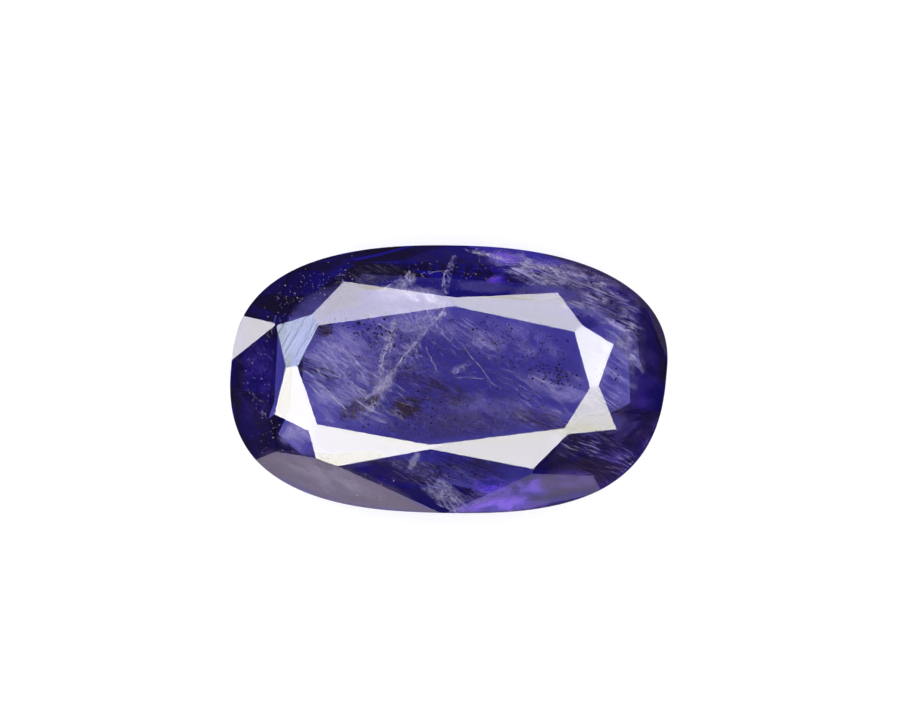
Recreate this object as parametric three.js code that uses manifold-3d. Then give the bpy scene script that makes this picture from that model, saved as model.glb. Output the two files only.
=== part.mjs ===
// Faceted iolite gemstone: one solid crystal, millimetres, +Z out of the table.
// It rests on its flat culet; X runs along the long axis of the oval girdle.
import * as THREE from 'three';
import Module from 'manifold-3d';
import { mergeVertices } from 'three/addons/utils/BufferGeometryUtils.js';

const wasm = await Module();
wasm.setup();

// ---- Overall sizes, mm ----
const DEPTH = 5.8;            // culet to table
const HALF_LENGTH = 7.96;     // right and left ends of the girdle outline
const HALF_WIDTH = { back: 4.374, front: 5.411 };
const OUTLINE_SHIFT = { x: 0.018, y: 0.52 };
const OUTLINE_LEAN = 0.082;   // the oval is a little slanted
const OUTLINE_TURN = -1.15;   // degrees
// Roundness of each quarter of the outline: 2 is an ellipse, higher is squarer.
const ROUNDNESS = { backRight: 2.268, backLeft: 2.564, frontLeft: 2.584, frontRight: 2.932 };
const OUTLINE_SEGMENTS = 180;

// ---- Crown ----
// Corners of the table, going clockwise from the back left one.
const TABLE_CORNERS = [
  [-4.75, 1.96], [0.18, 2.66], [4.56, 1.73], [5.13, -0.31],
  [4.21, -1.78], [-0.68, -2.39], [-4.80, -1.64], [-5.51, 0.47],
];
// Star i lies on the table edge that ends in corner i; "tip" is its outer point.
const STARS = [
  { tilt: 14.6, tip: [-6.29, 1.96] },
  { tilt: 13.1, tip: [-3.83, 3.56] },
  { tilt: 12.8, tip: [3.96, 3.15] },
  { tilt: 11.2, tip: [5.98, 1.26] },
  { tilt: 16.5, tip: [6.10, -1.82] },
  { tilt: 15.0, tip: [3.06, -3.26] },
  { tilt: 15.9, tip: [-4.74, -3.29] },
  { tilt: 13.1, tip: [-6.35, -1.27] },
];
// Length, seen from above, of the short edge that stars i and i + 1 share at table corner i.
const STAR_CREASE = [0.46, 0.32, 0.37, 0.32, 0.24, 0.15, 0.38, 0.42];
// Upper girdle facets. "beyond" is how far past the tip of star "at" the facet begins.
const UPPER_GIRDLE = [
  { at: 0, azimuth: 160, tilt: 42, beyond: 0.03 },
  { at: 0, azimuth: 140, tilt: 45, beyond: 0.08 },
  { at: 1, azimuth: 97, tilt: 48.7, beyond: 0.03 },
  { at: 2, azimuth: 75.3, tilt: 47, beyond: 0.04 },
  { at: 3, azimuth: 22, tilt: 43, beyond: 0.04 },
  { at: 4, azimuth: -44, tilt: 48.7, beyond: 0.03 },
  { at: 5, azimuth: -76.5, tilt: 48.4, beyond: 0.18 },
  { at: 6, azimuth: -108.5, tilt: 61.5, beyond: -0.4 },
  { at: 7, azimuth: -155, tilt: 50.2, beyond: 0.26 },
];
// Narrow flats along the girdle edge; "from" is where one begins on the crown.
const GIRDLE_FLATS = [
  { azimuth: 76.6, tilt: 55, from: [2.05, 4.29] },
  { azimuth: 57, tilt: 55, from: [5.75, 3.45] },
  { azimuth: 45, tilt: 55, from: [7.01, 2.63] },
  { azimuth: 22, tilt: 55, from: [7.58, 1.73] },
  { azimuth: -77, tilt: 60, from: [3.62, -4.56] },
];

// ---- Pavilion ----
// Each tier: height of its lower edge, and its facets as azimuth, tilt and the distance
// of that lower edge from the middle.
const PAVILION = [
  { height: 0, facets: [
    { azimuth: 90, tilt: 28.5, reach: 1.30 }, { azimuth: -90, tilt: 31, reach: 1.25 },
    { azimuth: 0, tilt: 25, reach: 3.95 }, { azimuth: 180, tilt: 24, reach: 3.60 },
    { azimuth: 52, tilt: 26, reach: 2.98 }, { azimuth: 128, tilt: 29, reach: 3.03 },
    { azimuth: -128, tilt: 25, reach: 2.30 }, { azimuth: -52, tilt: 30.7, reach: 3.19 },
  ] },
  { height: 0.83, facets: [
    { azimuth: 88, tilt: 49, reach: 2.76 }, { azimuth: -97, tilt: 44, reach: 2.80 },
    { azimuth: 2, tilt: 48, reach: 5.83 }, { azimuth: 178, tilt: 47, reach: 5.42 },
    { azimuth: 50, tilt: 47, reach: 4.61 }, { azimuth: 122.5, tilt: 46, reach: 4.16 },
    { azimuth: -130, tilt: 45, reach: 4.56 }, { azimuth: -43, tilt: 47, reach: 4.80 },
  ] },
  { height: 2.2, facets: [
    { azimuth: 70, tilt: 58, reach: 4.95 }, { azimuth: 109, tilt: 58, reach: 4.85 },
    { azimuth: -70, tilt: 57, reach: 4.95 }, { azimuth: -110, tilt: 50, reach: 5.12 },
    { azimuth: 24, tilt: 58, reach: 7.05 }, { azimuth: 154, tilt: 57, reach: 6.95 },
    { azimuth: -24, tilt: 58, reach: 7.05 }, { azimuth: -156, tilt: 54, reach: 6.95 },
  ] },
];

const BLOCK = 60;             // grinding block, larger than the stone

/** Point of the girdle outline at parameter t, in radians. */
function outlinePoint(t) {
  const right = Math.cos(t) >= 0;
  const back = Math.sin(t) >= 0;
  const side = (back ? 'back' : 'front') + (right ? 'Right' : 'Left');
  const power = 2 / ROUNDNESS[side];
  const u = HALF_LENGTH * Math.sign(Math.cos(t)) * Math.abs(Math.cos(t)) ** power;
  const v = (back ? HALF_WIDTH.back : HALF_WIDTH.front)
    * Math.sign(Math.sin(t)) * Math.abs(Math.sin(t)) ** power;
  const leaning = new THREE.Vector2(u + OUTLINE_LEAN * v, v);
  leaning.rotateAround(new THREE.Vector2(), THREE.MathUtils.degToRad(OUTLINE_TURN));
  return leaning.add(new THREE.Vector2(OUTLINE_SHIFT.x, OUTLINE_SHIFT.y));
}

/** Upright blank with the girdle's outline, before any facet is ground. */
function blank() {
  const points = [];
  for (let i = 0; i < OUTLINE_SEGMENTS; i += 1) {
    points.push(outlinePoint((2 * Math.PI * i) / OUTLINE_SEGMENTS));
  }
  return new THREE.ExtrudeGeometry(new THREE.Shape(points), { depth: DEPTH, bevelEnabled: false });
}

/** Outward normal of a facet; tilt is measured from the table (crown) plane. */
function normalOf(azimuth, tilt) {
  const polar = THREE.MathUtils.degToRad(tilt);
  const around = THREE.MathUtils.degToRad(azimuth);
  return new THREE.Vector3(
    Math.sin(polar) * Math.cos(around), Math.sin(polar) * Math.sin(around), Math.cos(polar));
}

function facet(normal, point) {
  return new THREE.Plane().setFromNormalAndCoplanarPoint(normal, point);
}

/** Height of a plane above the point (x, y). */
function heightAt(plane, x, y) {
  return (-plane.constant - plane.normal.x * x - plane.normal.y * y) / plane.normal.z;
}

/** Direction along which two planes meet, pointing down, one long as seen from above. */
function creaseOf(a, b) {
  const along = new THREE.Vector3().crossVectors(a.normal, b.normal);
  if (along.z > 0) along.negate();
  return along.divideScalar(Math.hypot(along.x, along.y));
}

/** The star facets; star i runs along the table edge from corner i - 1 to corner i. */
function starFacets() {
  return STARS.map(({ tilt }, i) => {
    const [ax, ay] = TABLE_CORNERS[(i + 7) % 8];
    const [bx, by] = TABLE_CORNERS[i];
    const azimuth = THREE.MathUtils.radToDeg(Math.atan2(bx - ax, -(by - ay)));
    return facet(normalOf(azimuth, tilt), new THREE.Vector3(bx, by, DEPTH));
  });
}

function starTip(stars, i) {
  const [x, y] = STARS[i].tip;
  return new THREE.Vector3(x, y, heightAt(stars[i], x, y));
}

/** The kite facets; main i hangs from table corner i, between stars i and i + 1. */
function mainFacets(stars) {
  return TABLE_CORNERS.map(([x, y], i) => {
    const next = (i + 1) % 8;
    const top = creaseOf(stars[i], stars[next]).multiplyScalar(STAR_CREASE[i])
      .add(new THREE.Vector3(x, y, DEPTH));
    const plane = new THREE.Plane();
    plane.setFromCoplanarPoints(top, starTip(stars, i), starTip(stars, next));
    if (plane.normal.z < 0) plane.negate();
    return plane;
  });
}

function upperGirdleFacets(stars, mains) {
  return UPPER_GIRDLE.map(({ at, azimuth, tilt, beyond }) => {
    const start = creaseOf(mains[(at + 7) % 8], mains[at]).multiplyScalar(beyond)
      .add(starTip(stars, at));
    return facet(normalOf(azimuth, tilt), start);
  });
}

function girdleFlats(crown) {
  return GIRDLE_FLATS.map(({ azimuth, tilt, from: [x, y] }) => {
    const z = Math.min(...crown.map((plane) => heightAt(plane, x, y)));
    return facet(normalOf(azimuth, tilt), new THREE.Vector3(x, y, z));
  });
}

function pavilionFacets() {
  return PAVILION.flatMap(({ height, facets }) => facets.map(({ azimuth, tilt, reach }) => {
    const around = THREE.MathUtils.degToRad(azimuth);
    const edge = new THREE.Vector3(reach * Math.cos(around), reach * Math.sin(around), height);
    return facet(normalOf(azimuth, 180 - tilt), edge);
  }));
}

/** Block that grinds away everything outside the plane. */
function grindingBlock(plane) {
  const block = new THREE.BoxGeometry(BLOCK, BLOCK, BLOCK);
  block.translate(0, 0, BLOCK / 2);
  const turn = new THREE.Quaternion()
    .setFromUnitVectors(new THREE.Vector3(0, 0, 1), plane.normal);
  block.applyQuaternion(turn);
  const foot = plane.coplanarPoint(new THREE.Vector3());
  return block.translate(foot.x, foot.y, foot.z);
}

function toSolid(geometry) {
  const bare = geometry.clone();
  bare.deleteAttribute('normal');
  bare.deleteAttribute('uv');
  const merged = mergeVertices(bare, 1e-5);
  return new wasm.Manifold(new wasm.Mesh({
    numProp: 3,
    vertProperties: new Float32Array(merged.attributes.position.array),
    triVerts: new Uint32Array(merged.index.array),
  }));
}

function toGeometry(solid) {
  const mesh = solid.getMesh();
  const geometry = new THREE.BufferGeometry();
  geometry.setAttribute('position', new THREE.BufferAttribute(mesh.vertProperties, 3));
  geometry.setIndex(new THREE.BufferAttribute(mesh.triVerts, 1));
  const flat = geometry.toNonIndexed();
  flat.computeVertexNormals();
  return flat;
}

function gemstone() {
  const stars = starFacets();
  const mains = mainFacets(stars);
  const crown = [...stars, ...mains, ...upperGirdleFacets(stars, mains)];
  const planes = [...crown, ...girdleFlats(crown), ...pavilionFacets()];
  let stone = toSolid(blank());
  for (const plane of planes) stone = stone.subtract(toSolid(grindingBlock(plane)));
  return toGeometry(stone);
}

const stone = new THREE.Mesh(gemstone(), new THREE.MeshStandardMaterial({
  name: 'iolite', color: 0x3a2f8c, roughness: 0.05, transparent: true, opacity: 0.6,
}));
stone.name = 'iolite_gemstone';

const part = new THREE.Group();
part.add(stone);

export default part;
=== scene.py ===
"""Iolite gemstone: the cut crystal and what grew inside it, on a pale floor in soft studio light.

Everything inside the stone is placed in millimetres: x and y as seen from above, and a depth
under the crown. X runs along the stone and Y across it, as in the CAD part. The stage is in
metres, its angles are in degrees and its radiances are red, green and blue.
"""

import math
from random import Random

import bmesh
import bpy
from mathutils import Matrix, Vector
from mathutils.bvhtree import BVHTree

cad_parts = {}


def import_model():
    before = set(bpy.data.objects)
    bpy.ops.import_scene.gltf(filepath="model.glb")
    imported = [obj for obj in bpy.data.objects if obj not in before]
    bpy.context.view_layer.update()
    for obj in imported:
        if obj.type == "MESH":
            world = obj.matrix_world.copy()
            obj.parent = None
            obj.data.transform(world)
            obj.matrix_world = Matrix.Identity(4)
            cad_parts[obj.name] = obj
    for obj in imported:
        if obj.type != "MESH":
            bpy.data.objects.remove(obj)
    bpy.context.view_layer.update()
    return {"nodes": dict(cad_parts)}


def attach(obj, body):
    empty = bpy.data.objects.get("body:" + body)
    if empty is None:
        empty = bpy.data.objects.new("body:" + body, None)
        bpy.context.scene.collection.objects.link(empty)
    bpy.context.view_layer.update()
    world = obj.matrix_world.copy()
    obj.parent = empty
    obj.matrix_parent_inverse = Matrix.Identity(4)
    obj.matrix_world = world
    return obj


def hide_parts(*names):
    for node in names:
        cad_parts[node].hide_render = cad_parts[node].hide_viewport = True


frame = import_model()

MM = 0.001
NODE = "iolite_gemstone"
BODY = "root"

# Camera and light
CAMERA_AT = (0, 0.702 * MM, 283.6 * MM)
CAMERA_CLIP = (0.01, 10)
SENSOR_MM = 36
LENS_MM = 306.3
DOME_LOW = 0.35           # radiance of the soft studio dome at the horizon
DOME_TOP = 1.9            # and overhead
DOME_RISE = (0.3, 0.85)   # sines of the elevations between which the dome brightens
ROOM_MIRRORED = (0.34, 0.24, 0.44)   # the dim room that polished faces mirror
FLOOR_HALF = 2.0
FLOOR_LEVEL = -0.02 * MM
FLOOR_COLOR = (0.75, 0.75, 0.75)
FLOOR_GLOW = 0.35
PANEL_AIM = (0, 0, 0.0045)
PANEL_DISTANCE = 0.25
# Soft boxes: azimuth, angle from the vertical, half width, radiance.
PANELS = [
    (153.0, 29.2, 5.0, (9.2, 10.4, 12.4)),
    (98.1, 26.2, 5.0, (10.1, 9.8, 9.5)),
    (78.0, 25.6, 5.0, (11.4, 11.2, 9.2)),
    (15.6, 22.4, 5.0, (18.2, 18.2, 15.5)),
    (-32.0, 33.0, 5.0, (13.4, 13.1, 9.6)),
    (-82.9, 30.0, 5.0, (15.4, 15.0, 11.2)),
    (-100.3, 31.8, 5.0, (19.2, 18.7, 14.9)),
    (-161.4, 26.2, 5.0, (21.0, 20.4, 19.0)),
]
SIDE_CARD = (160, 84, 8, (12.0, 11.4, 12.0))
SIDE_CARD_DISTANCE = 0.02
# Dark studio wall that only polished faces mirror, open low down at the front.
WALL_RADIUS = 0.024
WALL_TOP = 0.030
WALL_DOOR_TOP = 0.006
WALL_DOOR = (-120, -56)
WALL_RADIANCE = (0.16, 0.11, 0.38)
WALL_STEPS = 90
# Dim apron on the floor, also only mirrored, from the front right round to the back.
APRON = (-92, 125)
APRON_INNER = 0.0075
APRON_LEVEL = 0.02 * MM
APRON_RADIANCE = (0.40, 0.28, 0.52)
# Pale apron in front, mirrored by the two steep facets of the front edge.
FRONT_APRON = (-150, -50)
FRONT_APRON_INNER = 0.0056
FRONT_APRON_OUTER = 0.080
FRONT_APRON_LEVEL = 0.01 * MM
FRONT_APRON_RADIANCE = (1.37, 1.18, 1.56)
APRON_STEPS = 60

# Crystal
IOR = 1.54
ABSORPTION_COLOR = (0.127, 0.091, 0.70)
ABSORPTION_DENSITY = 550
WELD = 0.0005 * MM         # CAD corners closer than this are one corner
FLAT = math.radians(0.2)   # CAD triangles that meet at less than this are one facet
CREASE = math.radians(6)   # edges that bend by more than this are sharp
# The star facet with polishing lines: azimuth and tilt, and the cosine within which a normal
# belongs to it. Then the angle, grain, noise levels and roughness of its lines.
BRUSHED_STAR = (153.0, 14.6)
BRUSHED_MATCH = 0.9995
BRUSH_ANGLE = 60
BRUSH_GRAIN = (3.0, 0.035)
BRUSH_LEVELS = (0.35, 0.65)
BRUSH_ROUGHNESS = 0.15
# The ground girdle wall: faces whose normal rises or falls by no more than this share.
GROUND_LEAN = 0.08
GROUND_GRAIN = (0.3, 0.12)
GROUND_LEVELS = (0.3, 0.7)
GROUND_ROUGHNESS = 0.4

# Inclusions
INCLUSION_ROUGHNESS = 0.9
NOISE_ROUGHNESS = 0.6
NOISE_DISTORTION = 0.2
FILM_THICKNESS = 0.006    # mm
VEIL_GRID = (33, 21)      # points along and across a film
VEIL_RIPPLE = 0.12        # most by which a film's depth changes, as a share of it
RIPPLE_TURNS = (2.3, 1.7)   # radians of the ripple in half a film, along and across
MOST_PHASE = 6            # radians by which ripples and waves are shifted at most


def new_material(name):
    material = bpy.data.materials.new(name)
    material.use_nodes = True
    return material, material.node_tree.nodes, material.node_tree.links


def new_object(name, data):
    piece = bpy.data.objects.new(name, data)
    bpy.context.scene.collection.objects.link(piece)
    return piece


def smooth_step(value):
    t = min(max(value, 0.0), 1.0)
    return t * t * (3 - 2 * t)


def from_middle(middle, x, y, degrees):
    """The point (x, y) of a field round this middle, turned by an angle."""
    a = math.radians(degrees)
    dx = x * math.cos(a) - y * math.sin(a)
    dy = x * math.sin(a) + y * math.cos(a)
    return middle[0] + dx, middle[1] + dy


def aimed(azimuth, from_vertical):
    """Unit vector with these angles."""
    a = math.radians(azimuth)
    v = math.radians(from_vertical)
    return Vector((math.sin(v) * math.cos(a), math.sin(v) * math.sin(a), math.cos(v)))


# The crystal
def crystal_material():
    """Clear crystal with polishing lines on one star facet and a ground girdle wall."""
    material, nodes, links = new_material("iolite crystal")
    shader = nodes["Principled BSDF"]
    shader.inputs["Base Color"].default_value = (1, 1, 1, 1)
    shader.inputs["IOR"].default_value = IOR
    shader.inputs["Transmission Weight"].default_value = 1
    facing = nodes.new("ShaderNodeNewGeometry").outputs["Normal"]
    lines = mottled(nodes, links, BRUSH_ANGLE, BRUSH_GRAIN, detail=2)
    brushed = product(nodes, links, faces_along(nodes, links, facing, *BRUSHED_STAR),
                      stepped(nodes, links, lines, *BRUSH_LEVELS, BRUSH_ROUGHNESS))
    pits = mottled(nodes, links, 0, GROUND_GRAIN)
    ground = product(nodes, links, faces_sideways(nodes, links, facing),
                     stepped(nodes, links, pits, *GROUND_LEVELS, GROUND_ROUGHNESS))
    links.new(math_node(nodes, links, "ADD", brushed, ground), shader.inputs["Roughness"])
    volume = nodes.new("ShaderNodeVolumeAbsorption")
    volume.inputs["Color"].default_value = (*ABSORPTION_COLOR, 1)
    volume.inputs["Density"].default_value = ABSORPTION_DENSITY
    links.new(volume.outputs[0], nodes["Material Output"].inputs["Volume"])
    return material


def faces_along(nodes, links, facing, azimuth, tilt):
    """1 on the facet with this azimuth and tilt, else 0."""
    dot = nodes.new("ShaderNodeVectorMath")
    dot.operation = "DOT_PRODUCT"
    dot.inputs[1].default_value = aimed(azimuth, tilt)
    links.new(facing, dot.inputs[0])
    return math_node(nodes, links, "GREATER_THAN", dot.outputs["Value"], BRUSHED_MATCH)


def faces_sideways(nodes, links, facing):
    """1 on the upright girdle wall, else 0."""
    upward = nodes.new("ShaderNodeSeparateXYZ")
    links.new(facing, upward.inputs[0])
    lean = math_node(nodes, links, "ABSOLUTE", upward.outputs["Z"])
    return math_node(nodes, links, "LESS_THAN", lean, GROUND_LEAN)


def crystal(material):
    """Adds the cut stone, with flat faces and one smooth wall round the girdle.

    Returns a tree of its surface, which finds the places of what lies inside.
    """
    mesh = bpy.data.meshes.new("crystal")
    bm = bmesh.new()
    bm.from_mesh(frame["nodes"][NODE].data)
    bmesh.ops.remove_doubles(bm, verts=bm.verts, dist=WELD)
    bmesh.ops.dissolve_limit(bm, angle_limit=FLAT, verts=bm.verts, edges=bm.edges)
    for face in bm.faces:
        face.smooth = True
    for edge in bm.edges:
        edge.smooth = edge.calc_face_angle(0) < CREASE
    bm.to_mesh(mesh)
    tree = BVHTree.FromBMesh(bm)
    bm.free()
    mesh.materials.append(material)
    piece = new_object("crystal", mesh)
    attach(piece, BODY)
    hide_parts(NODE)
    return tree


class Inside:
    """Finds places inside the crystal, in millimetres."""
    MARGIN = 0.07         # least distance from the crown and the pavilion
    SIDE_MARGIN = 0.10    # and from the girdle
    LEAST_STONE = 4 * MARGIN   # least height of stone at a place
    RAY_START = 0.02      # metres above or below the culet, clear of the stone
    TRIES = 60
    DRAWN_IN = 0.985      # each try is nearer to the middle by this factor
    LAST_RESORT = (0, 0, 3)

    def __init__(self, tree):
        self.tree = tree

    def height(self, x, y, side):
        """Height of the stone's top (side 1) or underside (side -1), or None beside it."""
        start = Vector((x * MM, y * MM, side * self.RAY_START))
        hit = self.tree.ray_cast(start, Vector((0, 0, -side)))[0]
        return None if hit is None else hit.z / MM

    def under_crown(self, x, y, depth):
        """The point this deep under the crown, drawn in from the girdle where it must be."""
        for _ in range(self.TRIES):
            beyond = 1 + self.SIDE_MARGIN / max(math.hypot(x, y), 1)
            top = self.height(x, y, 1)
            bottom = self.height(x, y, -1)
            clear = self.height(x * beyond, y * beyond, 1) is not None
            if clear and None not in (top, bottom) and top - bottom > self.LEAST_STONE:
                z = min(top - self.MARGIN, max(top - depth, bottom + self.MARGIN))
                return Vector((x, y, z))
            x *= self.DRAWN_IN
            y *= self.DRAWN_IN
        return Vector(self.LAST_RESORT)


# Closed shapes of the inclusions
class Growth:
    """Collects closed shapes, in millimetres, into one inclusion mesh."""
    THREAD_ENDS = 0.45    # share of its radius that a thread keeps towards its ends
    UPRIGHT = 0.1         # a thread is upright where its level share is less than this

    def __init__(self):
        self.verts = []
        self.faces = []
        self.fades = []

    def add(self, point, fade=1.0):
        self.verts.append(point * MM)
        self.fades.append(fade)
        return len(self.verts) - 1

    def thread(self, points, radius):
        """Three-sided thread that tapers to both ends."""
        first = self.add(points[0])
        last_ring = None
        for i in range(1, len(points) - 1):
            along = (points[i + 1] - points[i - 1]).normalized()
            side = along.cross(Vector((0, 0, 1)))
            if side.length < self.UPRIGHT:
                side = along.cross(Vector((0, 1, 0)))
            side.normalize()
            up = side.cross(along)
            swell = math.sin(math.pi * i / (len(points) - 1))
            reach = radius * (self.THREAD_ENDS + (1 - self.THREAD_ENDS) * swell)
            ring = []
            for k in range(3):
                a = 2 * math.pi * k / 3
                ring.append(self.add(points[i] + (side * math.cos(a) + up * math.sin(a)) * reach))
            for k in range(3):
                n = (k + 1) % 3
                if last_ring is None:
                    self.faces.append((first, ring[n], ring[k]))
                else:
                    self.faces.append((last_ring[k], last_ring[n], ring[n], ring[k]))
            last_ring = ring
        last = self.add(points[-1])
        for k in range(3):
            self.faces.append((last_ring[k], last_ring[(k + 1) % 3], last))

    def grain(self, centre, radii):
        """Eight-faced grain."""
        rx, ry, rz = radii
        corners = [Vector(c) for c in (
            (rx, 0, 0), (0, ry, 0), (-rx, 0, 0), (0, -ry, 0), (0, 0, rz), (0, 0, -rz))]
        e, n, w, s, top, low = [self.add(centre + c) for c in corners]
        for a, b in ((e, n), (n, w), (w, s), (s, e)):
            self.faces.append((a, b, top))
            self.faces.append((b, a, low))

    def sheet(self, rows, fades, thickness):
        """Thin closed slab on a grid of points."""
        high = len(rows)
        wide = len(rows[0])
        drop = Vector((0, 0, -thickness))
        upper = [[self.add(p, f) for p, f in zip(r, fr)] for r, fr in zip(rows, fades)]
        lower = [[self.add(p + drop, f) for p, f in zip(r, fr)] for r, fr in zip(rows, fades)]
        for j in range(high - 1):
            for i in range(wide - 1):
                m = j + 1
                n = i + 1
                self.faces.append((upper[j][i], upper[j][n], upper[m][n], upper[m][i]))
                self.faces.append((lower[j][i], lower[m][i], lower[m][n], lower[j][n]))
        rim = [(0, i) for i in range(wide)]
        rim += [(j, wide - 1) for j in range(1, high)]
        rim += [(high - 1, i) for i in range(wide - 2, -1, -1)]
        rim += [(j, 0) for j in range(high - 2, 0, -1)]
        for (ja, ia), (jb, ib) in zip(rim, rim[1:] + rim[:1]):
            self.faces.append((upper[jb][ib], upper[ja][ia], lower[ja][ia], lower[jb][ib]))

    def finish(self, name, material):
        mesh = bpy.data.meshes.new(name)
        mesh.from_pydata(self.verts, [], self.faces)
        mesh.update()
        fade = mesh.attributes.new("fade", "FLOAT", "POINT")
        fade.data.foreach_set("value", self.fades)
        mesh.materials.append(material)
        piece = new_object(name, mesh)
        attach(piece, BODY)
        return piece


# Materials
def mottled(nodes, links, angle, grain, detail=6):
    """Noise in the stone's own space, drawn out along an angle.

    grain is the length and width of its patches in mm.
    """
    place = nodes.new("ShaderNodeTexCoord")
    turn = nodes.new("ShaderNodeMapping")
    turn.inputs["Rotation"].default_value = (0, 0, math.radians(-angle))
    links.new(place.outputs["Object"], turn.inputs["Vector"])
    stretch = nodes.new("ShaderNodeMapping")
    along = 1 / (grain[0] * MM)
    across = 1 / (grain[1] * MM)
    stretch.inputs["Scale"].default_value = (along, across, along)
    links.new(turn.outputs["Vector"], stretch.inputs["Vector"])
    noise = nodes.new("ShaderNodeTexNoise")
    noise.inputs["Scale"].default_value = 1
    noise.inputs["Detail"].default_value = detail
    noise.inputs["Roughness"].default_value = NOISE_ROUGHNESS
    noise.inputs["Distortion"].default_value = NOISE_DISTORTION
    links.new(stretch.outputs["Vector"], noise.inputs["Vector"])
    return noise.outputs["Fac"]


def stepped(nodes, links, value, low, high, top):
    """Smooth step of a value from low to high, scaled to reach top."""
    step = nodes.new("ShaderNodeMapRange")
    step.interpolation_type = "SMOOTHSTEP"
    step.inputs["From Min"].default_value = low
    step.inputs["From Max"].default_value = high
    step.inputs["To Max"].default_value = top
    links.new(value, step.inputs["Value"])
    return step.outputs["Result"]


def math_node(nodes, links, operation, a, b=None):
    """Result of a Math node on a socket, and on another socket or a number where b is given."""
    node = nodes.new("ShaderNodeMath")
    node.operation = operation
    links.new(a, node.inputs[0])
    if isinstance(b, bpy.types.NodeSocket):
        links.new(b, node.inputs[1])
    elif b is not None:
        node.inputs[1].default_value = b
    return node.outputs[0]


def product(nodes, links, a, b):
    return math_node(nodes, links, "MULTIPLY", a, b)


def matt(shader, roughness):
    shader.inputs["Roughness"].default_value = roughness
    shader.inputs["Specular IOR Level"].default_value = 0


def two_tone(name, dark, light, grain, angle=0, levels=(0.4, 0.6), detail=6):
    """Matt material that wanders between two colours, at these noise levels."""
    material, nodes, links = new_material(name)
    shader = nodes["Principled BSDF"]
    matt(shader, INCLUSION_ROUGHNESS)
    ramp = nodes.new("ShaderNodeValToRGB")
    for element, level, color in zip(ramp.color_ramp.elements, levels, (dark, light)):
        element.position = level
        element.color = (*color, 1)
    links.new(mottled(nodes, links, angle, grain, detail), ramp.inputs["Fac"])
    links.new(ramp.outputs["Color"], shader.inputs["Base Color"])
    return material


def veil_material(name, dark, light, angle, patch, streak, opacity):
    """Thin see-through film: patches crossed by fine streaks, fading towards its rim.

    patch and streak each give length and width in mm and the noise levels where the film
    begins and is full.
    """
    material = two_tone(name, dark, light, patch[:2], angle, detail=2)
    nodes = material.node_tree.nodes
    links = material.node_tree.links
    broad = mottled(nodes, links, angle, patch[:2], detail=3)
    fine = mottled(nodes, links, angle, streak[:2], detail=5)
    cover = stepped(nodes, links, broad, *patch[2:], opacity)
    lines = stepped(nodes, links, fine, *streak[2:], 1)
    fade = nodes.new("ShaderNodeAttribute")
    fade.attribute_name = "fade"
    alpha = product(nodes, links, product(nodes, links, cover, lines), fade.outputs["Fac"])
    links.new(alpha, nodes["Principled BSDF"].inputs["Alpha"])
    return material


# Fibres, cracks and fissures
# Fields of fibres: middle, half length and half width of the field, its angle, count,
# fibre lengths, fibre radii, depths, spread of the angle.
FIBRE_FIELDS = [
    # cloud at the back right
    ((4.7, 3.15), (2.1, 0.62), -22, 170, (0.4, 1.5), (0.006, 0.011), (0.12, 0.6), 6),
    ((3.2, 3.90), (1.5, 0.38), -20, 80, (0.3, 1.2), (0.006, 0.010), (0.12, 0.5), 7),
    ((6.5, 0.95), (0.65, 0.16), -52, 45, (0.3, 0.9), (0.006, 0.011), (0.12, 0.6), 7),
    ((6.3, 1.9), (0.8, 0.45), -30, 46, (0.3, 1.0), (0.006, 0.010), (0.12, 0.6), 9),
    # front kite
    ((-0.15, -4.15), (0.85, 0.42), -38, 120, (0.15, 0.6), (0.005, 0.009), (0.12, 0.6), 8),
    ((-1.2, -3.4), (1.1, 0.5), -38, 40, (0.15, 0.6), (0.004, 0.007), (0.15, 0.8), 14),
    ((-1.25, -2.95), (0.45, 0.14), 62, 36, (0.08, 0.35), (0.005, 0.009), (0.15, 0.5), 12),
    # fan at the left of the table
    ((-4.0, 0.1), (1.6, 1.1), -42, 120, (0.4, 2.0), (0.006, 0.012), (0.12, 0.5), 13),
    ((-2.6, -0.6), (1.5, 0.8), -30, 80, (0.3, 1.4), (0.006, 0.011), (0.12, 0.5), 18),
    ((-1.9, 1.4), (1.3, 0.9), -55, 70, (0.2, 1.0), (0.005, 0.010), (0.12, 0.5), 25),
    # right and front right
    ((5.3, -2.5), (1.7, 0.6), -20, 56, (0.2, 0.8), (0.005, 0.008), (0.12, 0.3), 6),
    ((2.0, -0.2), (2.6, 1.2), -25, 90, (0.2, 1.0), (0.005, 0.010), (0.15, 0.8), 14),
    # fine threads everywhere else
    ((0.0, 0.4), (5.5, 2.6), -28, 200, (0.1, 0.7), (0.005, 0.009), (0.15, 0.8), 40),
    ((-5.9, 0.6), (1.6, 2.6), -40, 40, (0.1, 0.5), (0.004, 0.008), (0.15, 0.6), 25),
    ((-4.2, 3.3), (2.2, 0.6), 15, 30, (0.1, 0.4), (0.004, 0.007), (0.15, 0.6), 30),
]
FIBRE_SEED = 11
FIBRE_POINTS = 6
FIBRE_DIVE = 0.25         # most by which one end of a fibre lies deeper than the other, mm
FIBRE_BEND = 0.10         # spread of its bow, as a share of its length
# Lines that both cracks and fissures follow.
BACK_LINE = [(0.29, 4.51), (-0.04, 3.98), (-0.19, 3.60), (-0.13, 3.01)]
RIGHT_ARM = [(-0.15, 2.94), (-0.23, 2.44), (-1.02, 1.54), (-2.03, 0.31), (-2.70, -0.82)]
LEFT_ARM = [(-1.95, 2.24), (-2.14, 1.54), (-2.42, 0.64), (-2.59, -0.37)]
KITE_LINE = [(-2.55, 3.30), (-2.45, 3.20), (-1.9, 3.55), (-1.4, 3.6)]
KITE_BRANCH = [(-1.1, 3.75), (-0.5, 3.85), (-0.1, 3.9)]
SPINE_POINTS = 25         # points along such a line
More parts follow.
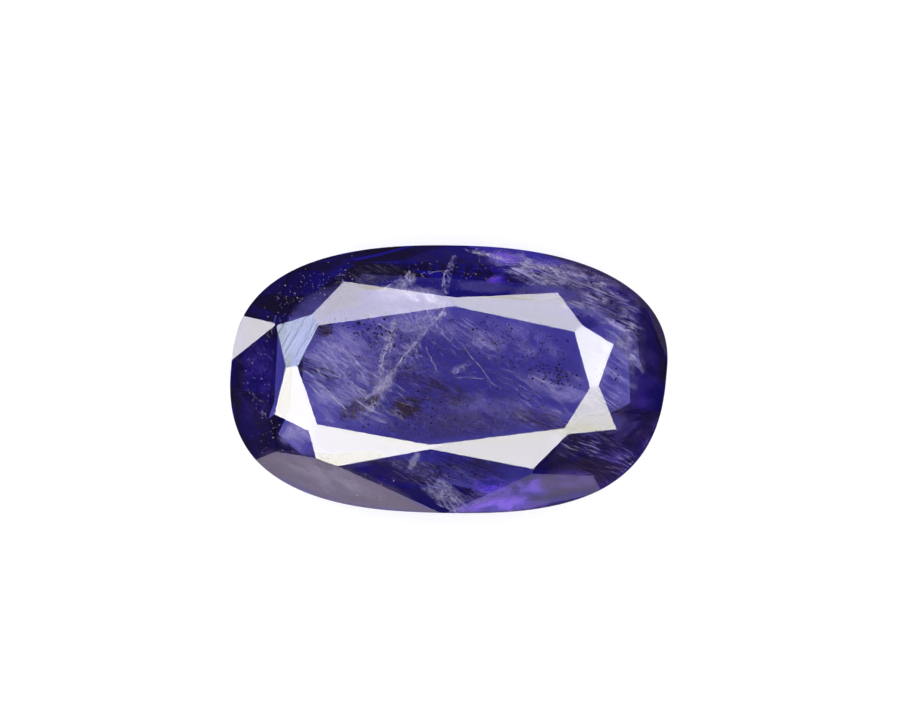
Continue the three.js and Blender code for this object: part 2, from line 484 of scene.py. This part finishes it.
# Cracks seen edge on: the line from above, threads, radius, depth.
CRACKS = [
    ([(-0.04, 1.95), (0.10, 1.65), (0.77, 0.87), (1.33, 0.19), (1.78, -0.42)], 1, 0.011, 0.2),
    ([(-0.91, 1.20), (-0.66, 0.67), (-0.40, 0.08)], 1, 0.010, 0.2),
    ([(-3.60, 0.81), (-3.27, 0.37), (-2.93, -0.14)], 2, 0.012, 0.3),
    ([(2.46, -1.27), (2.85, -1.50), (3.30, -1.83)], 2, 0.011, 0.3),
    (BACK_LINE, 2, 0.009, 0.3),
    (RIGHT_ARM, 4, 0.011, 0.25),
    (LEFT_ARM, 4, 0.012, 0.25),
    (KITE_LINE, 2, 0.012, 0.2),
    (KITE_BRANCH, 2, 0.009, 0.25),
    ([(-0.6, 2.1), (-0.2, 1.6), (0.25, 1.2)], 2, 0.008, 0.35),
    ([(-5.46, 0.48), (-4.6, -0.25), (-3.9, -0.95), (-3.48, -1.42)], 3, 0.012, 0.2),
    ([(-4.9, 1.2), (-3.9, 0.3), (-3.1, -0.6)], 2, 0.012, 0.2),
    ([(-4.4, 1.7), (-3.6, 0.9), (-2.8, 0.1)], 2, 0.011, 0.2),
    ([(-3.7, -0.5), (-3.0, -1.0), (-2.2, -1.4)], 2, 0.009, 0.2),
    ([(-3.3, -1.15), (-2.7, -1.35), (-2.35, -1.65)], 2, 0.010, 0.25),
    ([(4.2, 0.3), (4.6, 0.05), (5.0, -0.1)], 2, 0.010, 0.25),
    ([(3.0, 0.1), (3.6, -0.15), (4.4, -0.4)], 3, 0.010, 0.25),
]
CRACK_POINTS = 13
CRACK_STARTS = (0, 4)     # range of spine points where a thread starts
CRACK_ENDS = (19, 24)     # and where it ends
CRACK_SPREAD = 0.04       # most by which a thread runs beside the line, mm
CRACK_WAVE = 0.02         # by how much it sways, mm
CRACK_TREMOR = 0.012      # and trembles
CRACK_RADII = (0.6, 1.1)  # range of its radius, as a share of the table's
# Fissures: the line seen from above, half width at its start and end, short threads,
# their lengths, radius, depth.
FISSURES = [
    (BACK_LINE, (0.07, 0.06), 44, (0.08, 0.26), 0.009, 0.30),
    (RIGHT_ARM + [(-3.15, -1.27)], (0.05, 0.18), 150, (0.12, 0.50), 0.010, 0.30),
    (LEFT_ARM + [(-2.82, -1.04)], (0.10, 0.16), 160, (0.12, 0.50), 0.011, 0.30),
    ([(-2.05, 0.25), (-2.45, -0.30), (-2.80, -0.95)], (0.14, 0.10), 70, (0.10, 0.40), 0.011, 0.22),
    ([(-2.2, 2.0), (-1.4, 1.9), (-0.7, 2.2), (-0.2, 2.6)],
     (0.28, 0.18), 90, (0.12, 0.40), 0.010, 0.35),
    ([(-1.9, 1.5), (-1.1, 1.75), (-0.35, 1.7)], (0.20, 0.14), 40, (0.12, 0.40), 0.008, 0.5),
    ([(-1.45, 3.95), (-1.55, 3.55), (-1.75, 3.2)], (0.12, 0.22), 50, (0.06, 0.24), 0.010, 0.25),
    (KITE_LINE, (0.03, 0.08), 16, (0.08, 0.22), 0.010, 0.25),
    (KITE_BRANCH, (0.04, 0.05), 10, (0.08, 0.25), 0.009, 0.25),
    ([(0.84, 4.70), (1.61, 4.46), (3.18, 4.05), (4.65, 3.78), (5.5, 3.4)],
     (0.02, 0.04), 90, (0.10, 0.45), 0.008, 0.15),
    ([(-0.85, 1.9), (-1.25, 1.45), (-1.9, 0.9)], (0.10, 0.16), 28, (0.10, 0.40), 0.008, 0.45),
    ([(1.6, -1.0), (2.5, -1.3), (3.4, -1.75)], (0.10, 0.16), 20, (0.10, 0.45), 0.007, 0.4),
]
FISSURE_SEED = 5          # also of the cracks, which are drawn first
FISSURE_LAST = 23.99      # last place on the line where a thread starts
FISSURE_SPREAD = 0.6      # spread of the threads' starts, in half widths
FISSURE_TURN = 26         # spread of their first course, and the kink at each step, degrees
FISSURE_KINK = 12
FISSURE_STEPS = 5
FISSURE_RADII = (0.5, 1.1)    # range of the radii, as a share of the table's
FISSURE_DEPTHS = (0.7, 1.3)   # and of the depths
DEPTH_WANDER = 0.02           # spread of the depth's change at each step, mm
LEAST_DEPTH = 0.08


def bent_line(points, steps):
    """Points spread evenly by index along a broken line, with the corners rounded off."""
    line = []
    last = len(points) - 1
    for i in range(steps):
        s = i / (steps - 1) * last
        k = min(int(s), last - 1)
        t = s - k
        a = Vector(points[max(k - 1, 0)])
        b = Vector(points[k])
        c = Vector(points[k + 1])
        d = Vector(points[min(k + 2, last)])
        line.append(0.5 * (2 * b + (c - a) * t + (2 * a - 5 * b + 4 * c - d) * t * t
                           + (3 * b - a - 3 * c + d) * t ** 3))
    return line


def beside_spine(spine, place, off):
    """Point at this place along a spine and off to its left, and the direction there."""
    k = min(int(place), len(spine) - 2)
    here = spine[k].lerp(spine[k + 1], place - k)
    along = (spine[k + 1] - spine[k]).normalized()
    return (here.x - along.y * off, here.y + along.x * off), along


def fibres(inside, material):
    rng = Random(FIBRE_SEED)
    growth = Growth()
    for middle, half, angle, count, lengths, radii, depths, spread in FIBRE_FIELDS:
        for _ in range(count):
            r = math.sqrt(rng.random())
            a = rng.uniform(0, 2 * math.pi)
            x, y = from_middle(middle, half[0] * r * math.cos(a), half[1] * r * math.sin(a), angle)
            heading = math.radians(angle + rng.gauss(0, spread))
            length = lengths[0] + (lengths[1] - lengths[0]) * rng.random() ** 2
            depth = rng.uniform(*depths)
            dive = rng.uniform(-FIBRE_DIVE, FIBRE_DIVE)
            bend = rng.gauss(0, FIBRE_BEND)
            points = []
            for i in range(FIBRE_POINTS):
                s = i / (FIBRE_POINTS - 1) - 0.5
                off = bend * length * (s * s - 0.25)
                px = x + length * s * math.cos(heading) - off * math.sin(heading)
                py = y + length * s * math.sin(heading) + off * math.cos(heading)
                points.append(inside.under_crown(px, py, depth + dive * s))
            growth.thread(points, rng.uniform(*radii))
    return growth.finish("fibres", material)


def crooked_thread(growth, inside, rng, start, heading, length, radius, depth):
    """Short thread that changes course at each step."""
    x, y = start
    points = []
    for _ in range(FISSURE_STEPS + 1):
        points.append(inside.under_crown(x, y, depth))
        heading += math.radians(rng.gauss(0, FISSURE_KINK))
        x += length / FISSURE_STEPS * math.cos(heading)
        y += length / FISSURE_STEPS * math.sin(heading)
        depth = max(depth + rng.gauss(0, DEPTH_WANDER), LEAST_DEPTH)
    growth.thread(points, radius)


def cracks(inside, growth, rng):
    for line, count, radius, depth in CRACKS:
        spine = bent_line(line, SPINE_POINTS)
        for _ in range(count):
            across = rng.uniform(-CRACK_SPREAD, CRACK_SPREAD)
            phase = rng.uniform(0, MOST_PHASE)
            start = rng.uniform(*CRACK_STARTS)
            end = rng.uniform(*CRACK_ENDS)
            points = []
            for i in range(CRACK_POINTS):
                s = start + (end - start) * i / (CRACK_POINTS - 1)
                off = across + CRACK_WAVE * math.sin(phase + s) + rng.gauss(0, CRACK_TREMOR)
                (x, y), _ = beside_spine(spine, s, off)
                points.append(inside.under_crown(x, y, depth))
            growth.thread(points, radius * rng.uniform(*CRACK_RADII))


def fissures(inside, material):
    """The cracks, and swarms of short threads along the fissures, as one piece."""
    rng = Random(FISSURE_SEED)
    growth = Growth()
    cracks(inside, growth, rng)
    for line, (wide_a, wide_b), count, lengths, radius, depth in FISSURES:
        spine = bent_line(line, SPINE_POINTS)
        for _ in range(count):
            s = rng.uniform(0, FISSURE_LAST)
            half_width = wide_a + (wide_b - wide_a) * s / (SPINE_POINTS - 1)
            start, along = beside_spine(spine, s, half_width * rng.gauss(0, FISSURE_SPREAD))
            heading = math.atan2(along.y, along.x) + math.radians(rng.gauss(0, FISSURE_TURN))
            crooked_thread(growth, inside, rng, start, heading, rng.uniform(*lengths),
                           radius * rng.uniform(*FISSURE_RADII),
                           depth * rng.uniform(*FISSURE_DEPTHS))
    return growth.finish("fissures", material)


# Clusters of grains: middle, half sizes, angle, count, radii, depths.
DARK_GRAINS = [
    ((0.2, 0.3), (5.2, 2.5), 0, 480, (0.014, 0.036), (0.10, 0.4)),
    ((4.05, 0.10), (0.80, 0.42), -20, 44, (0.030, 0.056), (0.10, 0.3)),
    ((-2.9, 1.7), (1.5, 0.65), -15, 70, (0.026, 0.052), (0.10, 0.3)),
    ((-2.1, 0.9), (1.0, 0.6), -30, 24, (0.026, 0.050), (0.10, 0.3)),
    ((-4.5, 1.75), (0.4, 0.25), 0, 16, (0.028, 0.055), (0.10, 0.3)),
    ((2.6, 1.5), (2.2, 0.55), -12, 80, (0.020, 0.042), (0.10, 0.3)),
    ((3.0, 0.8), (1.7, 0.8), -20, 60, (0.020, 0.042), (0.10, 0.3)),
    ((4.8, 2.9), (2.1, 1.0), -20, 60, (0.022, 0.048), (0.08, 0.12)),
    ((6.1, 0.35), (0.3, 0.6), 0, 9, (0.026, 0.048), (0.08, 0.2)),
    ((2.0, 3.8), (2.0, 0.5), -8, 44, (0.020, 0.042), (0.08, 0.15)),
    ((-2.2, -1.2), (2.2, 0.7), 5, 54, (0.022, 0.050), (0.10, 0.3)),
    ((0.6, -3.7), (2.6, 0.7), 0, 44, (0.020, 0.042), (0.08, 0.2)),
    ((5.4, -2.3), (1.5, 0.6), -15, 26, (0.018, 0.038), (0.08, 0.3)),
]
BROWN_GRAINS = [
    ((-0.6, 0.4), (4.6, 2.1), 0, 64, (0.022, 0.046), (0.08, 0.3)),
    ((-4.9, 3.1), (2.3, 1.0), 22, 60, (0.016, 0.034), (0.08, 0.2)),
    ((0.3, 3.7), (2.6, 0.5), -5, 24, (0.020, 0.044), (0.08, 0.2)),
    ((-3.4, -1.2), (0.5, 0.22), 30, 14, (0.03, 0.06), (0.08, 0.2)),
]
PALE_GRAINS = [
    ((-4.9, 3.1), (2.2, 0.95), 22, 120, (0.010, 0.026), (0.08, 0.25)),
    ((-6.9, 0.3), (0.75, 2.1), 0, 60, (0.010, 0.024), (0.08, 0.25)),
    ((-6.4, -2.0), (0.8, 1.0), 25, 36, (0.010, 0.026), (0.08, 0.25)),
    ((-3.0, -3.2), (2.6, 0.6), -10, 20, (0.012, 0.024), (0.1, 0.3)),
    ((0.0, 0.0), (5.0, 2.2), 0, 70, (0.010, 0.022), (0.15, 0.6)),
    ((0.2, 4.0), (2.2, 0.5), 0, 20, (0.012, 0.026), (0.1, 0.3)),
    ((1.2, -2.0), (2.6, 0.5), 8, 30, (0.012, 0.024), (0.1, 0.3)),
    ((5.8, -0.2), (1.2, 2.6), 0, 20, (0.010, 0.020), (0.1, 0.3)),
    ((-4.2, -3.7), (2.9, 0.6), -18, 60, (0.012, 0.024), (0.08, 0.10)),
    ((-1.6, 0.5), (1.6, 1.2), -30, 24, (0.016, 0.030), (0.10, 0.3)),
]
GRAIN_REACH = (0.6, 1.15)   # blurs the rim of a cluster
GRAIN_BIAS = 1.6            # above 1, small grains are the more common
GRAIN_SHAPE = (0.7, 1.3)    # range of each half size, as a share of the grain's


def grains(inside, name, clusters, material, seed):
    rng = Random(seed)
    growth = Growth()
    for middle, half, angle, count, radii, depths in clusters:
        for _ in range(count):
            r = math.sqrt(rng.random()) * rng.uniform(*GRAIN_REACH)
            a = rng.uniform(0, 2 * math.pi)
            x, y = from_middle(middle, half[0] * r * math.cos(a), half[1] * r * math.sin(a), angle)
            size = radii[0] + (radii[1] - radii[0]) * rng.random() ** GRAIN_BIAS
            at = inside.under_crown(x, y, rng.uniform(*depths))
            growth.grain(at, [size * rng.uniform(*GRAIN_SHAPE) for _ in range(3)])
    return growth.finish(name, material)


# Patches of films: middle, half sizes, angle, depth under the crown, and strength where it
# isn't 1.
HAZE = [
    ((-3.4, 1.3), (1.6, 1.2), -30, 0.9),
    ((-4.3, -0.9), (1.3, 1.0), -30, 0.8),
    ((-3.3, 0.1), (1.7, 1.2), -40, 1.0),
    ((-4.3, 0.9), (1.4, 1.0), -40, 0.7),
    ((-0.9, 2.1), (2.2, 0.7), -10, 0.9),
    ((1.35, 1.35), (0.9, 0.55), -35, 0.6, 0.65),
    ((2.6, 1.4), (2.0, 0.9), -20, 1.1),
    ((4.0, -0.3), (1.5, 0.6), -15, 0.8),
    ((3.4, -1.3), (1.8, 0.5), -12, 0.9),
    ((5.7, 0.2), (1.2, 2.2), 0, 0.9, 0.6),
    ((-1.6, 3.0), (1.7, 0.45), -2, 0.5, 0.8),
    ((0.42, 0.42), (0.60, 0.20), 27, 0.3, 0.5),
    ((-5.5, -2.0), (0.75, 0.8), 0, 0.6),
    ((-5.5, -2.1), (0.7, 0.6), 0, 0.9, 0.8),
    ((0.8, -1.3), (2.8, 0.9), 0, 0.8, 0.65),
    ((-0.8, 3.0), (1.2, 0.35), -4, 0.15, 0.8),
    ((-4.2, -3.6), (2.6, 0.6), -18, 0.09, 0.25),
]
STREAKS = [
    ((-4.2, 0.7), (1.6, 1.5), -38, 0.35),
    ((-3.4, -0.8), (1.9, 0.9), -32, 0.35, 0.7),
    ((-2.2, 1.4), (1.6, 1.0), -48, 0.45),
    ((-1.0, 0.2), (1.4, 0.8), -30, 0.5, 0.4),
    ((1.1, 1.5), (1.5, 0.8), -30, 0.5, 0.5),
    ((3.4, -0.6), (1.9, 0.9), -22, 0.4, 0.5),
    ((5.9, -0.3), (1.0, 2.2), -30, 0.3, 0.5),
    ((-0.3, -3.6), (2.6, 0.8), -20, 0.25, 0.3),
    ((-3.0, 3.7), (1.6, 0.5), 10, 0.2, 0.25),
    ((5.2, -2.4), (1.8, 0.8), -20, 0.3, 0.28),
    ((5.0, -3.1), (1.8, 0.6), -14, 0.2, 0.28),
]
DARK_STREAKS = [
    ((5.4, -2.5), (1.9, 0.9), -20, 0.2),
    ((3.4, -1.45), (1.4, 0.50), -14, 0.25, 0.4),
    ((-2.2, -3.45), (1.9, 0.55), -18, 0.2, 0.6),
    ((0.6, -3.3), (2.0, 0.6), -10, 0.2, 0.35),
    ((-4.8, 0.2), (1.1, 0.6), -30, 0.3, 0.8),
    ((4.9, 3.1), (2.2, 0.7), -22, 0.12, 0.4),
    ((-4.65, 1.75), (0.5, 0.3), -20, 0.12),
    ((5.0, -3.2), (1.9, 0.6), -14, 0.12),
    ((-0.3, -0.5), (1.5, 0.6), -15, 0.45, 0.6),
    ((0.1, 4.35), (1.9, 0.42), -6, 0.12, 0.5),
]
# Painted shade: dark films under the grey facets of the front edge stand in for the darkness
# there, where little light comes through the stone.
PAINTED_SHADE = [
    ((-4.0, -3.75), (3.3, 0.72), -19, 0.14),
    ((-1.9, -4.62), (1.5, 0.34), -20, 0.14),
    ((4.6, -3.5), (1.5, 0.6), 14, 0.14, 0.7),
]
# Painted light: dim violet films under the outer parts of the stars give them the colour of the
# light seen through the window, so they look as bright as the parts over it.
PAINTED_WINDOW_LIGHT = [
    ((-5.2, 1.9), (1.5, 0.8), 60, 0.2, 0.8),
    ((-4.0, 2.9), (1.3, 0.55), 8, 0.2, 0.7),
    ((5.5, -1.62), (1.1, 0.45), 6, 0.2),
    ((-4.6, -2.95), (0.8, 0.35), -30, 0.15),
    ((3.6, 3.10), (1.5, 0.34), -4, 0.11),
    ((-3.6, -2.9), (1.5, 0.36), 6, 0.2, 0.9),
    ((-3.8, -2.95), (1.4, 0.34), 6, 0.35, 0.9),
    ((1.3, 3.33), (1.2, 0.24), -3, 0.12, 0.5),
]
CLOUD = [
    ((4.8, 3.15), (2.5, 0.95), -20, 0.35),
    ((4.4, 3.10), (2.3, 0.85), -22, 0.70),
    ((3.1, 3.95), (2.0, 0.60), -15, 0.30),
    ((6.55, 0.95), (0.9, 0.30), -52, 0.30),
    ((6.2, 1.9), (1.1, 0.6), -30, 0.40),
]
FISSURE_FILMS = [
    ((0.02, 3.80), (0.95, 0.14), 78, 0.30, 0.5),
    ((-2.50, -0.35), (1.10, 0.30), 57, 0.35, 0.7),
    ((-2.50, -0.35), (1.45, 0.40), 57, 0.60, 0.55),
    ((-1.1, 1.6), (1.6, 0.22), 52, 0.60, 0.55),
    ((-2.30, 0.9), (1.8, 0.26), 74, 0.75, 0.6),
    ((-1.2, 2.2), (1.5, 0.55), 12, 0.60, 0.5),
    ((0.42, 0.36), (0.48, 0.15), 27, 0.30, 0.5),
    ((-0.15, -4.15), (1.05, 0.50), -38, 0.30, 0.7),
    ((-1.3, -2.95), (0.50, 0.18), 62, 0.25),
    ((-1.55, 3.55), (0.50, 0.34), 40, 0.25),
    ((1.6, 4.45), (1.3, 0.10), -14, 0.15),
    ((3.6, 4.0), (1.6, 0.12), -13, 0.15),
]
# Painted light: bright violet films stand in for the violet light seen in the darker parts of the
# stone, under the front facets, one star and the rim.
PAINTED_VIOLET_LIGHT = [
    ((1.45, -3.85), (0.75, 0.45), 0, 0.30, 0.85),
    ((1.9, -4.55), (2.0, 0.42), 4, 0.25),
    ((1.75, 3.55), (0.5, 0.24), 10, 0.30),
    ((2.0, 4.35), (0.9, 0.25), -12, 0.30),
    ((3.3, -3.8), (0.9, 0.4), 8, 0.35, 0.8),
    ((2.8, -4.0), (1.4, 0.6), 8, 0.3, 0.4),
    ((4.6, -3.6), (1.6, 0.6), 14, 0.12, 0.2),
    ((5.3, -2.3), (2.2, 1.1), -15, 0.9, 0.24),
    ((5.0, 2.9), (2.8, 1.2), -20, 1.1, 0.30),
    ((2.6, 3.9), (2.0, 0.6), -10, 0.9, 0.25),
    ((6.9, 0.3), (0.9, 2.0), 0, 0.7, 0.07),
    ((6.9, -1.5), (1.0, 1.6), 10, 0.3, 0.10),
    ((6.0, -3.2), (1.3, 0.8), 35, 0.3, 0.2),
    ((-6.9, 0.0), (0.9, 2.2), 0, 0.5, 0.10),
]
STAINS = [
    ((-3.5, -1.1), (0.70, 0.45), 30, 0.25, 0.6),
    ((-2.75, -0.75), (0.35, 0.18), 30, 0.2),
    ((-1.55, -1.02), (0.80, 0.50), 5, 0.35),
    ((-1.50, -1.00), (0.60, 0.36), 5, 0.25, 0.6),
    ((0.0, 0.1), (5.2, 2.4), -5, 0.5, 0.16),
    ((-0.8, -1.7), (2.2, 0.7), 5, 0.6, 0.35),
    ((-0.2, -0.6), (1.0, 0.40), -15, 0.4, 0.25),
    ((-1.5, 0.15), (0.7, 0.45), -15, 0.5, 0.35),
    ((-4.7, 1.8), (0.6, 0.30), 0, 0.3),
    ((1.2, -1.6), (2.4, 0.6), 8, 0.6, 0.35),
    ((3.4, -1.50), (1.3, 0.40), -12, 0.25, 0.35),
    ((6.3, -1.6), (1.2, 0.9), -20, 0.35, 0.3),
    ((-0.4, -3.35), (0.20, 0.28), 0, 0.15),
    ((-1.6, -3.3), (1.8, 0.6), -10, 0.3, 0.6),
    ((0.9, -3.1), (1.6, 0.5), -10, 0.3, 0.35),
]


def veils(inside, name, patches, material, seed, steepness=1.25):
    """Films over these patches, which fade towards their rims; steepness is how fast."""
    rng = Random(seed)
    growth = Growth()
    across, down = VEIL_GRID
    for patch in patches:
        middle, half, angle, depth, strength = (*patch, 1.0)[:5]
        phase = rng.uniform(0, MOST_PHASE)
        rows = []
        fades = []
        for j in range(down):
            row = []
            fade_row = []
            for i in range(across):
                u = 2 * i / (across - 1) - 1
                v = 2 * j / (down - 1) - 1
                x, y = from_middle(middle, half[0] * u, half[1] * v, angle)
                turn = phase + RIPPLE_TURNS[0] * u + RIPPLE_TURNS[1] * v
                row.append(inside.under_crown(x, y, depth * (1 + VEIL_RIPPLE * math.sin(turn))))
                fade_row.append(strength * smooth_step(steepness * (1 - math.hypot(u, v))))
            rows.append(row)
            fades.append(fade_row)
        growth.sheet(rows, fades, FILM_THICKNESS)
    return growth.finish(name, material)


def inclusions(tree):
    """Adds everything that grew inside the crystal, and films of painted shade and painted light
    under some of its facets.
    """
    inside = Inside(tree)
    white = veil_material("pale fissure", (0.60, 0.55, 0.75), (0.95, 0.92, 0.98), -30,
                          (0.5, 0.2, 0.25, 0.60), (0.3, 0.06, 0.20, 0.50), 0.72)
    fibre = veil_material("pale fibre", (0.50, 0.50, 0.80), (0.88, 0.88, 1.0), -22,
                          (0.8, 0.3, 0.30, 0.60), (0.5, 0.05, 0.25, 0.50), 0.6)
    dark = two_tone("dark grain", (0.008, 0.005, 0.012), (0.16, 0.09, 0.03), (0.5, 0.5),
                    levels=(0.52, 0.72))
    brown = two_tone("brown grain", (0.06, 0.04, 0.02), (0.30, 0.20, 0.09), (0.3, 0.3),
                     levels=(0.35, 0.65))
    pale = two_tone("pale grain", (0.50, 0.32, 0.15), (0.80, 0.75, 0.70), (0.35, 0.35),
                    levels=(0.35, 0.60))
    fissures(inside, white)
    fibres(inside, fibre)
    grains(inside, "dark_grains", DARK_GRAINS, dark, seed=21)
    grains(inside, "brown_grains", BROWN_GRAINS, brown, seed=23)
    grains(inside, "pale_grains", PALE_GRAINS, pale, seed=22)
    haze = veil_material("haze", (0.55, 0.49, 0.88), (0.88, 0.82, 1.0), -34,
                         (0.9, 0.45, 0.30, 0.66), (0.7, 0.06, 0.15, 0.66), 0.50)
    streaks = veil_material("streaks", (0.50, 0.44, 0.95), (0.82, 0.76, 1.0), -34,
                            (0.8, 0.4, 0.30, 0.62), (1.1, 0.04, 0.48, 0.66), 0.50)
    dark_streaks = veil_material("dark streaks", (0.008, 0.005, 0.030), (0.028, 0.016, 0.016), -22,
                                 (0.9, 0.35, 0.30, 0.58), (0.8, 0.07, 0.46, 0.58), 0.85)
    # Painted shade: dark film for the darkness under the front facets.
    painted_shade = veil_material("painted_shade", (0.03, 0.02, 0.06), (0.07, 0.05, 0.13), -20,
                          (1.2, 0.7, 0.0, 0.45), (0.4, 0.2, 0.0, 0.40), 0.72)
    # Painted light: dim violet film in the colour of the light through the window.
    painted_window_light = veil_material("painted_window_light", (0.08, 0.068, 0.27), (0.11, 0.095, 0.38), -20,
                          (1.2, 0.7, 0.0, 0.45), (0.4, 0.2, 0.0, 0.45), 0.70)
    cloud = veil_material("cloud", (0.46, 0.41, 0.86), (0.86, 0.80, 1.0), -22,
                          (0.60, 0.22, 0.40, 0.60), (0.55, 0.055, 0.36, 0.58), 0.66)
    # Painted light: bright violet film in place of violet light in the darker parts.
    violet = veil_material("painted violet light", (0.05, 0.02, 0.75), (0.30, 0.14, 1.0), 0,
                           (0.8, 0.5, 0.25, 0.60), (0.4, 0.3, 0.0, 0.40), 0.70)
    stain = veil_material("stain", (0.010, 0.007, 0.012), (0.070, 0.043, 0.032), -18,
                          (0.28, 0.16, 0.30, 0.56), (0.10, 0.05, 0.20, 0.58), 0.74)
    film = veil_material("fissure film", (0.60, 0.55, 0.86), (0.95, 0.90, 1.0), -50,
                         (0.25, 0.12, 0.34, 0.62), (0.12, 0.05, 0.30, 0.60), 0.50)
    veils(inside, "fissure_films", FISSURE_FILMS, film, seed=35)
    veils(inside, "haze", HAZE, haze, seed=31)
    veils(inside, "streaks", STREAKS, streaks, seed=36, steepness=2)
    veils(inside, "dark_streaks", DARK_STREAKS, dark_streaks, seed=30, steepness=2)
    veils(inside, "painted_shade", PAINTED_SHADE, painted_shade, seed=37, steepness=4)
    veils(inside, "painted_window_light", PAINTED_WINDOW_LIGHT, painted_window_light, seed=38, steepness=2.5)
    veils(inside, "cloud", CLOUD, cloud, seed=32)
    veils(inside, "painted_violet_light", PAINTED_VIOLET_LIGHT, violet, seed=33)
    veils(inside, "stains", STAINS, stain, seed=34, steepness=1.8)


# Studio
def square(name, half, level=0):
    mesh = bpy.data.meshes.new(name)
    corners = [(-half, -half), (half, -half), (half, half), (-half, half)]
    mesh.from_pydata([(x, y, level) for x, y in corners], [], [(0, 1, 2, 3)])
    return mesh


def floor():
    """Pale floor. Like the dome, it isn't sampled as a lamp, which saves render time."""
    mesh = square("floor", FLOOR_HALF, FLOOR_LEVEL)
    material, nodes, _ = new_material("pale floor")
    shader = nodes["Principled BSDF"]
    matt(shader, 1)
    shader.inputs["Base Color"].default_value = (*FLOOR_COLOR, 1)
    shader.inputs["Emission Color"].default_value = (1, 1, 1, 1)
    shader.inputs["Emission Strength"].default_value = FLOOR_GLOW
    material.cycles.emission_sampling = "NONE"
    mesh.materials.append(material)
    new_object("floor", mesh)


def world():
    """Soft dome, brightest overhead; polished faces mirror a dim room in its place."""
    scene_world = bpy.data.worlds.new("studio")
    bpy.context.scene.world = scene_world
    scene_world.use_nodes = True
    scene_world.cycles.sampling_method = "NONE"
    nodes = scene_world.node_tree.nodes
    links = scene_world.node_tree.links
    direction = nodes.new("ShaderNodeTexCoord")
    upward = nodes.new("ShaderNodeSeparateXYZ")
    links.new(direction.outputs["Generated"], upward.inputs[0])
    dome = nodes.new("ShaderNodeMapRange")
    dome.interpolation_type = "SMOOTHSTEP"
    dome.inputs["From Min"].default_value = DOME_RISE[0]
    dome.inputs["From Max"].default_value = DOME_RISE[1]
    dome.inputs["To Min"].default_value = DOME_LOW
    dome.inputs["To Max"].default_value = DOME_TOP
    links.new(upward.outputs["Z"], dome.inputs["Value"])
    path = nodes.new("ShaderNodeLightPath")
    mirrored = product(nodes, links, path.outputs["Is Glossy Ray"],
                       path.outputs["Is Reflection Ray"])
    seen = nodes.new("ShaderNodeMix")
    seen.data_type = "RGBA"
    color_a, color_b = [i for i in seen.inputs if i.name in ("A", "B") and i.type == "RGBA"]
    factor = next(i for i in seen.inputs if i.name == "Factor" and i.type == "VALUE")
    result = next(o for o in seen.outputs if o.type == "RGBA")
    links.new(dome.outputs["Result"], color_a)
    color_b.default_value = (*ROOM_MIRRORED, 1)
    links.new(mirrored, factor)
    links.new(result, nodes["Background"].inputs["Color"])


def only_mirrored(piece):
    """Shows in polished faces and nowhere else."""
    piece.visible_camera = False
    piece.visible_diffuse = False
    piece.visible_transmission = False
    piece.visible_shadow = False
    piece.visible_volume_scatter = False


def glow(name, radiance):
    """Material that gives off this radiance."""
    material, nodes, links = new_material(name)
    emission = nodes.new("ShaderNodeEmission")
    strongest = max(radiance)
    emission.inputs["Color"].default_value = (*(c / strongest for c in radiance), 1)
    emission.inputs["Strength"].default_value = strongest
    links.new(emission.outputs[0], nodes["Material Output"].inputs["Surface"])
    return material


def panel(name, azimuth, from_vertical, half_width, radiance, distance=PANEL_DISTANCE):
    """Square soft box that faces the stone."""
    direction = aimed(azimuth, from_vertical)
    mesh = square(name, distance * math.tan(math.radians(half_width)))
    mesh.materials.append(glow(name, radiance))
    piece = new_object(name, mesh)
    piece.location = direction * distance + Vector(PANEL_AIM)
    piece.rotation_euler = direction.to_track_quat("Z", "Y").to_euler()
    only_mirrored(piece)


def dark_wall():
    """Round wall; its lower edge is raised where the door is."""
    mesh = bpy.data.meshes.new("dark_wall")
    verts = []
    faces = []
    for i in range(WALL_STEPS):
        azimuth = 360 * i / WALL_STEPS
        if azimuth > 180:
            azimuth -= 360
        low = WALL_DOOR_TOP if WALL_DOOR[0] < azimuth < WALL_DOOR[1] else 0
        x = WALL_RADIUS * math.cos(math.radians(azimuth))
        y = WALL_RADIUS * math.sin(math.radians(azimuth))
        verts += [(x, y, low), (x, y, WALL_TOP)]
    for i in range(WALL_STEPS):
        j = (i + 1) % WALL_STEPS
        faces.append((2 * i, 2 * j, 2 * j + 1, 2 * i + 1))
    mesh.from_pydata(verts, [], faces)
    mesh.materials.append(glow("dark wall", WALL_RADIANCE))
    only_mirrored(new_object("dark_wall", mesh))


def apron(name, sweep, inner, outer, level, radiance):
    """Part of a flat ring just over the floor."""
    mesh = bpy.data.meshes.new(name)
    verts = []
    faces = []
    for i in range(APRON_STEPS + 1):
        a = math.radians(sweep[0] + (sweep[1] - sweep[0]) * i / APRON_STEPS)
        for radius in (inner, outer):
            verts.append((radius * math.cos(a), radius * math.sin(a), level))
    for i in range(APRON_STEPS):
        faces.append((2 * i, 2 * i + 1, 2 * i + 3, 2 * i + 2))
    mesh.from_pydata(verts, [], faces)
    mesh.materials.append(glow(name, radiance))
    only_mirrored(new_object(name, mesh))


def camera():
    data = bpy.data.cameras.new("camera")
    data.sensor_width = SENSOR_MM
    data.lens = LENS_MM
    data.clip_start, data.clip_end = CAMERA_CLIP
    piece = new_object("camera", data)
    piece.location = CAMERA_AT
    bpy.context.scene.camera = piece


scene = bpy.context.scene
scene.view_settings.view_transform = "Standard"
scene.cycles.max_bounces = 32
scene.cycles.transmission_bounces = 32
scene.cycles.glossy_bounces = 16
scene.cycles.transparent_max_bounces = 64

camera()
world()
floor()
for i, spec in enumerate(PANELS):
    panel(f"panel_{i}", *spec)
panel("side_card", *SIDE_CARD, distance=SIDE_CARD_DISTANCE)
dark_wall()
apron("dark_apron", APRON, APRON_INNER, WALL_RADIUS, APRON_LEVEL, APRON_RADIANCE)
apron("front_apron", FRONT_APRON, FRONT_APRON_INNER, FRONT_APRON_OUTER, FRONT_APRON_LEVEL,
      FRONT_APRON_RADIANCE)
inclusions(crystal(crystal_material()))
